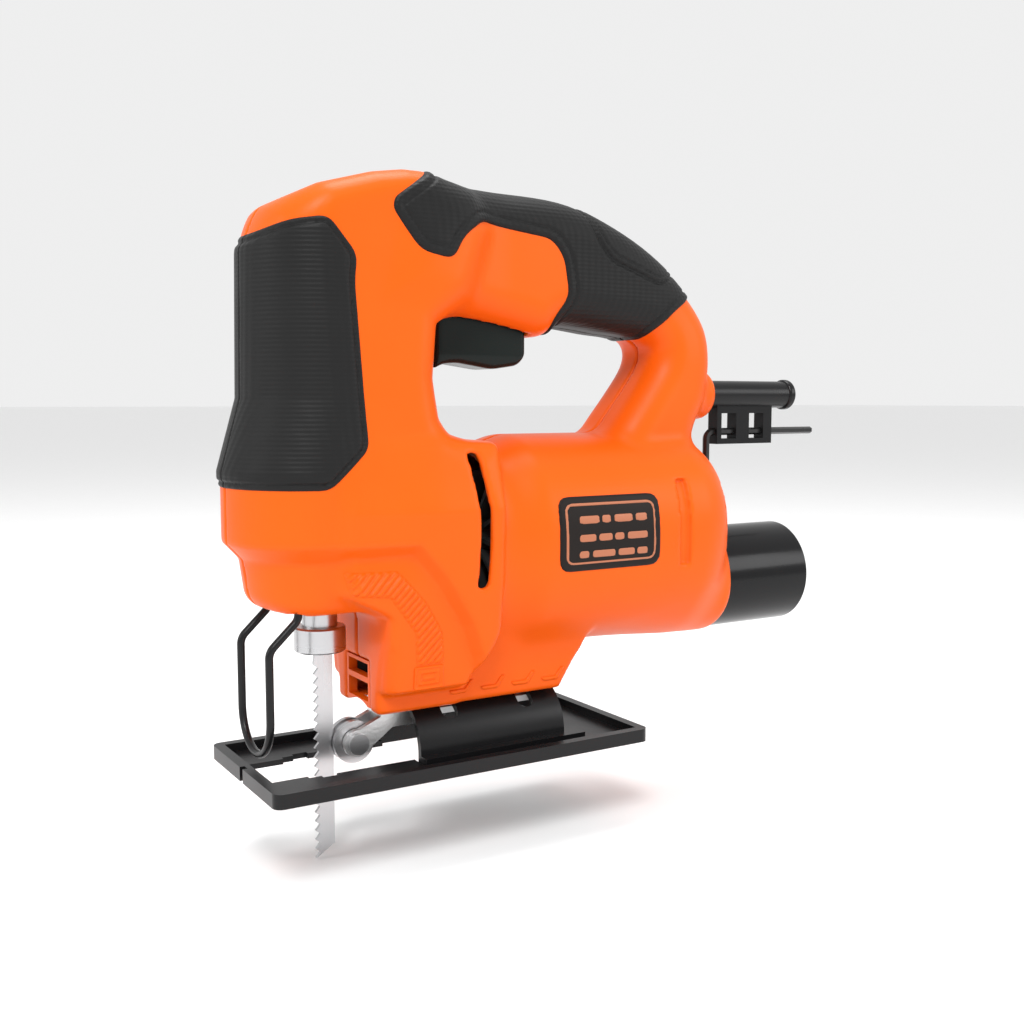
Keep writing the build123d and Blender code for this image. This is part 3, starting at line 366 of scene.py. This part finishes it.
def pad(name, outline, reach, height, sink, bevel, step=None):
    """A left and a right piece lying on the moulded outside, within an outline in the side view.
    reach is how far across it goes, (from, to); height(f, depth) is how proud it stands."""
    p = np.array(outline)
    step = step or sizes().detail_step * coarse()
    low = (p[:, 0].min() - 2, reach[0] - 2 * step, p[:, 1].min() - 2)
    high = (p[:, 0].max() + 2, reach[1], p[:, 1].max() + 2)
    f = Field(low, high, step)
    body, edge = body_shape(f), f.side(p)
    shape = meet(body - height(f, -edge), edge + 0 * f.Y, bevel)
    shape = np.maximum(shape, -(body + sink))
    shape = np.maximum(shape, max(reach[0], JOINT_GAP) - f.Y + 0 * shape)
    return [net_mesh(side + "_" + name, shape, f, side == "right") for side in ("left", "right")]


# ---------------------------------------------------------------- finishes
FINISHES = {}
WEAVE_PITCH = 1.35


def node(tree, kind, **inputs):
    """A new shader node with the given inputs."""
    made = tree.nodes.new(kind)
    for name, value in inputs.items():
        made.inputs[name.replace("_", " ")].default_value = value
    return made


def material(name, colour, roughness, metallic=0.0, grain=None, vary=0.04, stretch=(1, 1, 1),
             weave=0.0, shine=0.5):
    """A finish with fine relief and a slight unevenness of colour and gloss.
    grain is (scale, height in mm), stretch draws it out, weave adds a moulded grid of that
    height in mm, and shine is the specular level."""
    made = bpy.data.materials.new(name)
    made.use_nodes = True
    tree = made.node_tree
    link = tree.links.new
    shader = tree.nodes["Principled BSDF"]
    shader.inputs["Base Color"].default_value = (*colour, 1)
    shader.inputs["Roughness"].default_value = roughness
    shader.inputs["Metallic"].default_value = metallic
    shader.inputs["Specular IOR Level"].default_value = shine
    place = tree.nodes.new("ShaderNodeTexCoord")
    drawn = tree.nodes.new("ShaderNodeMapping")
    drawn.inputs["Scale"].default_value = stretch
    link(place.outputs["Object"], drawn.inputs["Vector"])
    cloud = node(tree, "ShaderNodeTexNoise", Scale=40.0, Detail=5.0)
    link(drawn.outputs["Vector"], cloud.inputs["Vector"])
    span = node(tree, "ShaderNodeMapRange", From_Min=0.3, From_Max=0.7,
                To_Min=max(0.03, roughness - vary), To_Max=min(1, roughness + vary))
    link(cloud.outputs["Fac"], span.inputs["Value"])
    link(span.outputs["Result"], shader.inputs["Roughness"])
    tint = tree.nodes.new("ShaderNodeMix")
    tint.data_type = "RGBA"
    tint.inputs[6].default_value = (*[c * (1 - 1.5 * vary) for c in colour], 1)
    tint.inputs[7].default_value = (*[min(1, c * (1 + 1.5 * vary)) for c in colour], 1)
    link(cloud.outputs["Fac"], tint.inputs[0])
    link(tint.outputs[2], shader.inputs["Base Color"])
    last = None
    if grain:
        speck = node(tree, "ShaderNodeTexNoise", Scale=grain[0], Detail=3.0)
        link(drawn.outputs["Vector"], speck.inputs["Vector"])
        last = node(tree, "ShaderNodeBump", Distance=grain[1] * MM)
        link(speck.outputs["Fac"], last.inputs["Height"])
    if weave:
        for turned in (0, 1):
            grid = node(tree, "ShaderNodeTexWave", Scale=2 * math.pi / 20 / (WEAVE_PITCH * MM))
            grid.wave_type = "BANDS"
            grid.bands_direction = "Z" if turned else "DIAGONAL"
            flat = node(tree, "ShaderNodeMapping")
            flat.inputs["Scale"].default_value = (1, 1, 1) if turned else (1, 1, 0)
            link(place.outputs["Object"], flat.inputs["Vector"])
            link(flat.outputs["Vector"], grid.inputs["Vector"])
            bump = node(tree, "ShaderNodeBump", Distance=weave * MM)
            link(grid.outputs["Fac"], bump.inputs["Height"])
            if last:
                link(last.outputs["Normal"], bump.inputs["Normal"])
            last = bump
    if last:
        link(last.outputs["Normal"], shader.inputs["Normal"])
    return made


def finishes():
    """Every finish by name, made once."""
    if "shell" not in FINISHES:
        c = colours()
        FINISHES.update({
            "shell": material("shell plastic", c.shell, 0.38, grain=(2300, 0.03), vary=0.03, shine=0.14),
            "grip": material("grip rubber", c.grip, 0.48, grain=(3000, 0.05), weave=0.06, shine=0.14),
            "gloss": material("gloss black plastic", c.black, 0.17, grain=(700, 0.01), vary=0.03,
                              shine=0.16),
            "satin": material("satin black plastic", c.black, 0.42, grain=(2200, 0.03), shine=0.15),
            "trigger": material("trigger plastic", (0.008, 0.011, 0.010), 0.25, grain=(1500, 0.015),
                                shine=0.12),
            "badge": material("badge black", (0.012, 0.009, 0.008), 0.45, grain=(2500, 0.02), shine=0.12),
            "line": material("badge line", c.line, 0.45, grain=(2500, 0.02)),
            "rubber": material("cord rubber", c.black, 0.30, grain=(1800, 0.03), shine=0.2),
            "coated": material("coated steel", c.black, 0.30, grain=(2600, 0.03), shine=0.22),
            "brushed": material("brushed steel", c.steel, 0.30, 1.0, grain=(900, 0.03), vary=0.08,
                                stretch=(1, 1, 0.05)),
            "turned": material("turned steel", [0.92 * v for v in c.steel], 0.30, 1.0,
                               grain=(900, 0.02), vary=0.06, stretch=(0.1, 0.1, 1)),
            "cast": material("cast zinc", (0.66, 0.66, 0.66), 0.40, 1.0, grain=(1100, 0.08), vary=0.08),
            "black steel": material("blackened steel", (0.02, 0.02, 0.02), 0.30, 0.4, grain=(1500, 0.03)),
            "bronze": material("sintered bronze", (0.45, 0.28, 0.12), 0.45, 1.0, grain=(2500, 0.05)),
            "core": material("laminated core", (0.12, 0.12, 0.125), 0.45, 0.9, grain=(2000, 0.06),
                             stretch=(6, 1, 1)),
            "copper": material("enamelled copper", (0.60, 0.20, 0.07), 0.3, 0.9, grain=(1500, 0.15)),
            "carbon": material("carbon block", (0.02, 0.02, 0.02), 0.6, grain=(2500, 0.05)),
            "inner": material("inner plastic", (0.06, 0.06, 0.06), 0.5, grain=(2000, 0.04)),
        })
    return FINISHES


FINISH_OF = {
    "shell": ["dust_nozzle"],
    "gloss": ["dust_port"],
    "satin": ["hex_key_holder"],
    "rubber": ["cord_sleeve", "plunger_seal"],
    "coated": ["shoe", "blade_guard"],
    "brushed": ["blade", "brush_springs"],
    "turned": ["plunger", "blade_collar", "guide_roller", "roller_pin", "armature_shaft", "gear_shaft",
               "front_bearing", "rear_bearing"],
    "cast": ["roller_bracket", "shoe_clamp_nuts", "gear_case", "brush_holders"],
    "black steel": ["clamp_screw", "hex_key", "housing_screws", "shoe_screws", "cord_clamp_screws"],
    "bronze": ["lower_plunger_bushing", "upper_plunger_bushing", "gear_bushing"],
    "core": ["armature_core", "field_core", "drive_gear"],
    "copper": ["armature_windings", "field_coils", "commutator"],
    "carbon": ["brushes"],
    "inner": ["fan", "switch_body", "capacitor", "cord_clamp", "dust_duct", "lead_wires"],
}
SHARP = {"shoe": 0.35, "hex_key_holder": 0.3, "dust_port": 0.35, "blade_collar": 0.35,
         "roller_bracket": 0.3, "guide_roller": 0.3, "cord_sleeve": 0.3, "dust_nozzle": 0.2}


# ---------------------------------------------------------------- makers
class JIGSAW_OT_housing(bpy.types.Operator):
    """Moulds the left and right housing shells"""
    bl_idname = "jigsaw.housing"
    bl_label = "Housing shells"

    def execute(self, context):
        f = Field((-159, -1.2, 15), (33, 36, 193), sizes().shell_step * coarse())
        shell = self.hollow(f, body_shape(f))
        for side in ("left", "right"):
            piece = net_mesh(side + "_shell", shell, f, side == "right")
            fit(piece, finishes()["shell"], HOUSING, "orange_shell", side + "_housing")
        return {"FINISHED"}

    def hollow(self, f, body):
        """Inner wall, joint face and openings."""
        groove = meet(np.abs(f.X + 122.5) - 2.3, np.abs(f.Z - 75.5) - 14.8, 0.8)
        groove = np.maximum(groove, -(body + 1.7))
        body = np.maximum(body, -groove)
        shell = np.maximum(body, -(body + sizes().wall))
        slot_x = -43.1 + 0.0037 * (f.Z - 73) ** 2
        vent = meet(np.abs(f.X - slot_x) - 2.0 + 0 * f.Y, np.abs(f.Z - 80) - 21.2, 1.6)
        chin = np.maximum(CHIN_HOLES_Z[0] - f.Z, f.Z - CHIN_HOLES_Z[1])
        guard_x, guard_y = GUARD_AT
        holes = [f.box(*TRIGGER_OPENING),
                 f.rod_x(SOLE_SEAT_RADIUS, 0, SOLE_AXIS_Z),
                 np.maximum(np.hypot(f.X, f.Y) - PLUNGER_HOLE, chin),
                 np.maximum(np.hypot(f.X - guard_x, f.Y - guard_y) - GUARD_HOLE, chin),
                 np.maximum(vent, 12 - f.Y),
                 np.maximum(f.rod_x(DUST_HOLE, 0, DUST_Z), f.X + 140),
                 np.maximum(f.rod_x(CORD_HOLE, 0, CORD_Z), f.X + 150),
                 f.box(*DUST_INTAKE)]
        for k in range(REAR_SLOTS):
            z = 60 + REAR_SLOT_PITCH * k
            holes.append(np.maximum(f.box(-147.5, -145.5, 8, 40, z, z + 3, REAR_SLOT_EDGE), 8 - f.Y))
        for gone in holes:
            shell = meet(shell, -gone, CUT_EDGE)
        return meet(shell, JOINT_GAP - f.Y, SPLIT_EDGE)


NOSE_PAD = [(40, 91.0), (6.6, 91.0), (-6, 103), (-3.2, 152), (-4.2, 160), (4.6, 170.8), (15, 169.4),
            (26, 164.6), (40, 160)]
HANDLE_PAD = [(-30, 187.5), (-16.2, 177.6), (-15.6, 174.2), (-24.4, 162.0), (-35.5, 160.0),
              (-40.0, 168.0),
              (-48, 173.2), (-76.5, 170), (-81.3, 164.5), (-83.4, 152), (-79, 144.6), (-79, 136),
              (-118, 134), (-121, 141), (-130, 149.2), (-139, 154), (-160, 158), (-150, 200), (-36, 200)]
INLAY = [(-90, 186), (-95.5, 170.5), (-100.5, 164.8), (-121.8, 157.6), (-131.5, 161.2), (-142, 174),
         (-90, 198)]


class JIGSAW_OT_grips(bpy.types.Operator):
    """Lays the soft grips on the nose and the handle"""
    bl_idname = "jigsaw.grips"
    bl_label = "Soft grips"

    def execute(self, context):
        tall = sizes().grip_height

        def bordered(f, depth):
            rim = 0.55 * tall * ease(depth / 0.8)
            field = 0.45 * tall * ease((depth - 1.7) / 1.0)
            line = 0.5 * np.exp(-((depth - 1.9) / 0.45) ** 2)
            return rim + field - line

        def handled(f, depth):
            deep = -f.side(trimmed(INLAY, 3.0))
            line = 0.55 * np.exp(-((depth - 3.4) / 0.45) ** 2) * (deep < -1)
            inlay = 0.35 * ease((deep - 0.5) / 0.8) - 0.75 * np.exp(-(deep / 0.5) ** 2) \
                - 0.55 * np.exp(-((deep - 2.2) / 0.4) ** 2)
            return tall * (0.75 * ease(depth / 1.2)) - line + inlay

        for name, outline, reach, height, nodes in (
                ("nose_pad", trimmed(NOSE_PAD, 3.0), (0, 30), bordered, "nose_grip"),
                ("handle_pad", trimmed(HANDLE_PAD, 3.5), (0, 26), handled, "handle_grip")):
            for piece, side in zip(pad(name, outline, reach, height, 1.0, 0.5), ("left", "right")):
                fit(piece, finishes()["grip"], HOUSING, "soft_grip", side + "_" + nodes)
        return {"FINISHED"}


PLATE = ((-110.8, -69.8), (61.75, 86.25))
RIB_BAND = [(2, 66.4), (-14.5, 66.2), (-24.5, 55.5), (-30.4, 46), (-31.8, 35.5), (-21.8, 35.5),
            (-21.0, 46), (-11.8, 58.0), (0, 59.2)]
RIB_STEP, MARK_STEP = 0.36, 0.4
RIB_END = [(-21.3, 27.6), (-31.6, 27.6), (-31.4, 35), (-21.3, 35)]


def framed(x, z, inset):
    """A rectangle moved in by the inset."""
    return [(x[0] + inset, z[0] + inset), (x[1] - inset, z[0] + inset), (x[1] - inset, z[1] - inset),
            (x[0] + inset, z[1] - inset)]


class JIGSAW_OT_badges(bpy.types.Operator):
    """Makes the side badges with a double border and plain bars"""
    bl_idname = "jigsaw.badges"
    bl_label = "Side badges"

    def execute(self, context):
        x, z = PLATE
        plates = pad("badge", trimmed(framed(x, z, 0), 4.5), (10, 36), flat(0.45), 0.9, 0.3)
        for piece, side in zip(plates, ("left", "right")):
            fit(piece, finishes()["badge"], HOUSING, "badge_plastic", side + "_nameplate")

        def ring(f, depth):
            return 0.62 - 3.0 * ease((depth - 1.0) / 0.3)

        for piece in pad("badge_line", trimmed(framed(x, z, 2.2), 3.2), (10, 36), ring, 0.3, 0.1, 0.4):
            fit(piece, finishes()["line"], HOUSING, "badge_plastic")
        rows = ((78.6, (5.6, 8.6, 4.2, 9.0)), (72.6, (9.4, 4.4, 6.2, 7.4)), (67.2, (5.0, 7.6, 10.2, 4.4)))
        for row, (height, lengths) in enumerate(rows):
            start = x[0] + 5.6
            for k, length in enumerate(lengths):
                ends = (start, start + length * 0.92)
                bar = trimmed(framed(ends, (height - 1.3, height + 1.3), 0), 1.2)
                start += length + 0.4
                for piece in pad(f"badge_bar_{row}_{k}", bar, (14, 36), flat(0.6), 0.2, 0.1, 0.4):
                    fit(piece, finishes()["line"], HOUSING, "badge_plastic")
        return {"FINISHED"}


class JIGSAW_OT_cheek_ribs(bpy.types.Operator):
    """Raises the slanted ribs on the cheeks and the step marks along the skirt"""
    bl_idname = "jigsaw.cheek_ribs"
    bl_label = "Cheek ribs"

    def execute(self, context):
        def slanted(f, depth):
            wave = np.sin((f.X * 0.72 + f.Z * 0.70) * 2 * math.pi / 1.95)
            return 0.12 + 0.62 * ease((depth - 0.2) / 0.5) * ease(0.5 + 0.9 * wave)

        def nested(f, depth):
            return 0.10 + 0.5 * ease(0.5 + 0.9 * np.sin(depth * 2 * math.pi / 1.5))

        bands = [("rib_band", trimmed(RIB_BAND, 1.0), slanted),
                 ("rib_end", trimmed(RIB_END, 0.6), nested)]
        for name, outline, height in bands:
            for piece in pad(name, outline, (10, 34), height, 0.5, 0.15, RIB_STEP * coarse()):
                fit(piece, finishes()["shell"], HOUSING, "orange_shell")
        for k in range(4):
            x = -43.8 - 11.8 * k
            mark = [(x + 5.6, 22.6), (x + 6.4, 24.0), (x + 0.6, 24.0), (x - 1.8, 26.8), (x - 3.2, 26.8),
                    (x - 0.2, 22.6)]
            for piece in pad(f"step_mark_{k}", trimmed(mark, 0.5), (8, 34), flat(0.55), 0.5, 0.2,
                             MARK_STEP * coarse()):
                fit(piece, finishes()["shell"], HOUSING, "orange_shell")
        return {"FINISHED"}


TRIGGER_SIDE = [(-38.1, 148.8), (-71.9, 148.8), (-71.9, 132.0), (-69.6, 129.0), (-60, 127.6),
                (-46, 129.6), (-41, 129.0), (-38.1, 127.4)]
STEM_X, STEM_RADIUS = -48, 2


class JIGSAW_OT_trigger(bpy.types.Operator):
    """Moulds the finger trigger and its return spring"""
    bl_idname = "jigsaw.trigger"
    bl_label = "Trigger"

    def execute(self, context):
        f = Field((-74, -10, 125), (-36, 10, 162), 0.5 * coarse())
        side = trimmed(TRIGGER_SIDE, 2.2)
        half = 8.3 - 1.2 * ease((132.5 - f.Z) / 5)
        stem = np.maximum(np.hypot(f.X - STEM_X, f.Y) - STEM_RADIUS, np.abs(f.Z - 154) - 6)
        shape = np.minimum(meet(f.side(side), np.abs(f.Y) - half, 1.8), stem)
        piece = net_mesh("trigger_shell", shape, f)
        fit(piece, finishes()["trigger"], "trigger", "trigger_plastic", "trigger")
        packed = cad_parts["trigger_spring"]
        coil = bpy.data.objects.new("trigger_coil", packed.data.copy())
        context.scene.collection.objects.link(coil)
        fit(coil, finishes()["brushed"], HOUSING, "bright_steel", "trigger_spring")
        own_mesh(coil)
        return {"FINISHED"}


class JIGSAW_OT_finish_parts(bpy.types.Operator):
    """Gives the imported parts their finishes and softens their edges"""
    bl_idname = "jigsaw.finish_parts"
    bl_label = "Packed parts"

    def execute(self, context):
        made = finishes()
        shown = dict(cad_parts)
        for finish, names in FINISH_OF.items():
            for name in names:
                piece = shown[name]
                if not piece.material_slots:
                    piece.data.materials.append(made["inner"])
                for spot in piece.material_slots:
                    spot.link = "OBJECT"
                    spot.material = made[finish]
        for name, width in SHARP.items():
            soft = shown[name].modifiers.new("soft edges", "BEVEL")
            soft.width = width * MM
            soft.segments = 2
            soft.limit_method = "ANGLE"
            soft.angle_limit = math.radians(40)
            soft.use_clamp_overlap = True
        return {"FINISHED"}


# name, place in metres, width in metres, power in watts
LAMPS = [("key", (0.45, 0.70, 0.95), 0.4, 10.0), ("side", (-0.8, 0.7, 0.45), 0.4, 2.5),
         ("front", (0.9, -0.1, 0.45), 0.4, 2.0), ("top", (-0.2, -0.1, 1.1), 0.5, 7.0)]
LIT_POINT = (-0.07, 0, 0.1)
FLOOR_SIZE = 60
FLOOR_DROP = 0.0005
SKY_STRENGTH = 0.86
CAMERA_PLACE = (0.1381, 0.3434, 0.1172)
CAMERA_TURN, CAMERA_TILT = math.radians(31.38), math.radians(5.426)
LENS, SENSOR_WIDTH = 41.1, 36


class JIGSAW_OT_stage(bpy.types.Operator):
    """Sets the floor, lights and camera"""
    bl_idname = "jigsaw.stage"
    bl_label = "Stage"

    def execute(self, context):
        scene = context.scene
        bpy.ops.mesh.primitive_plane_add(size=FLOOR_SIZE, location=(0, 0, CAD_LOW.z - FLOOR_DROP))
        floor = context.object
        floor.name = "floor"
        white = material("studio white", (0.9, 0.9, 0.9), 0.9, grain=(60, 0.05), vary=0.01)
        floor.data.materials.append(white)
        world = bpy.data.worlds.new("studio")
        scene.world = world
        world.use_nodes = True
        sky = world.node_tree.nodes["Background"]
        sky.inputs["Color"].default_value = (1, 1, 1, 1)
        sky.inputs["Strength"].default_value = SKY_STRENGTH
        for name, place, size, power in LAMPS:
            lamp = bpy.data.lights.new(name, "AREA")
            lamp.energy = power
            lamp.size = size
            lit = bpy.data.objects.new(name, lamp)
            scene.collection.objects.link(lit)
            lit.location = place
            aim = Vector(LIT_POINT) - Vector(place)
            lit.rotation_euler = aim.to_track_quat("-Z", "Y").to_euler()
        camera = bpy.data.objects.new("camera", bpy.data.cameras.new("camera"))
        scene.collection.objects.link(camera)
        camera.data.sensor_width = SENSOR_WIDTH
        camera.data.lens = LENS
        camera.data.clip_start = 0.01
        camera.location = CAMERA_PLACE
        level = math.cos(CAMERA_TILT)
        ahead = Vector((-math.sin(CAMERA_TURN) * level, -math.cos(CAMERA_TURN) * level,
                        -math.sin(CAMERA_TILT)))
        camera.rotation_mode = "QUATERNION"
        camera.rotation_quaternion = ahead.to_track_quat("-Z", "Y")
        scene.camera = camera
        scene.view_settings.view_transform = "Standard"
        return {"FINISHED"}


class JIGSAW_PT_panel(bpy.types.Panel):
    """Lists the makers and their sizes"""
    bl_idname = "JIGSAW_PT_panel"
    bl_label = "Jigsaw"
    bl_space_type = "VIEW_3D"
    bl_region_type = "UI"
    bl_category = "Jigsaw"

    def draw(self, context):
        for group in (sizes(), colours()):
            for name in group.__annotations__:
                self.layout.prop(group, name)
        for maker in MAKERS:
            self.layout.operator(maker.bl_idname)


MAKERS = (JIGSAW_OT_housing, JIGSAW_OT_grips, JIGSAW_OT_badges, JIGSAW_OT_cheek_ribs, JIGSAW_OT_trigger,
          JIGSAW_OT_finish_parts, JIGSAW_OT_stage)
CLASSES = (JigsawSizes, JigsawColours, *MAKERS, JIGSAW_PT_panel)


def register():
    for cls in CLASSES:
        bpy.utils.register_class(cls)
    bpy.types.Scene.jigsaw_sizes = PointerProperty(type=JigsawSizes)
    bpy.types.Scene.jigsaw_colours = PointerProperty(type=JigsawColours)


def unregister():
    del bpy.types.Scene.jigsaw_colours
    del bpy.types.Scene.jigsaw_sizes
    for cls in reversed(CLASSES):
        bpy.utils.unregister_class(cls)


def main():
    register()
    bpy.ops.jigsaw.housing()
    bpy.ops.jigsaw.grips()
    bpy.ops.jigsaw.badges()
    bpy.ops.jigsaw.cheek_ribs()
    bpy.ops.jigsaw.trigger()
    bpy.ops.jigsaw.finish_parts()
    bpy.ops.jigsaw.stage()


if __name__ == "__main__":
    main()
